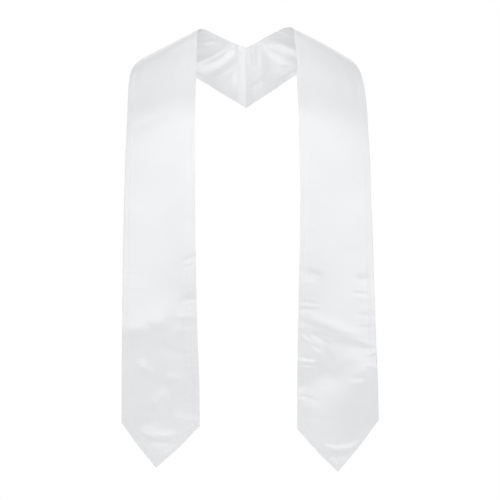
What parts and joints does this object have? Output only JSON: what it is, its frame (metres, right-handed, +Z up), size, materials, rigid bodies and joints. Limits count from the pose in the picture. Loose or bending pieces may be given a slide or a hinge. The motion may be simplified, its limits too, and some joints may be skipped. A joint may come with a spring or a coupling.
{
  "type": "clergy stole",
  "caption": "Long lined satin stole worn open over the shoulders, with a V-shaped back neck and pointed front ends.",
  "frame": {"origin": "midway between the two places where the neck edges cross the tops of the shoulders", "axes": "+X across the shoulders to the wearer's left, +Y towards the wearer's back, +Z up; the fronts hang on the -Y side"},
  "size_m": [0.4374, 0.2164, 0.7685],
  "materials": {
    "face_satin": "smooth white polyester satin",
    "lining_satin": "white polyester satin lining"
  },
  "bodies": {
    "root": {"outer_left": "face_satin", "outer_right": "face_satin", "lining_left": "lining_satin", "lining_right": "lining_satin"}
  },
  "joints": []
}
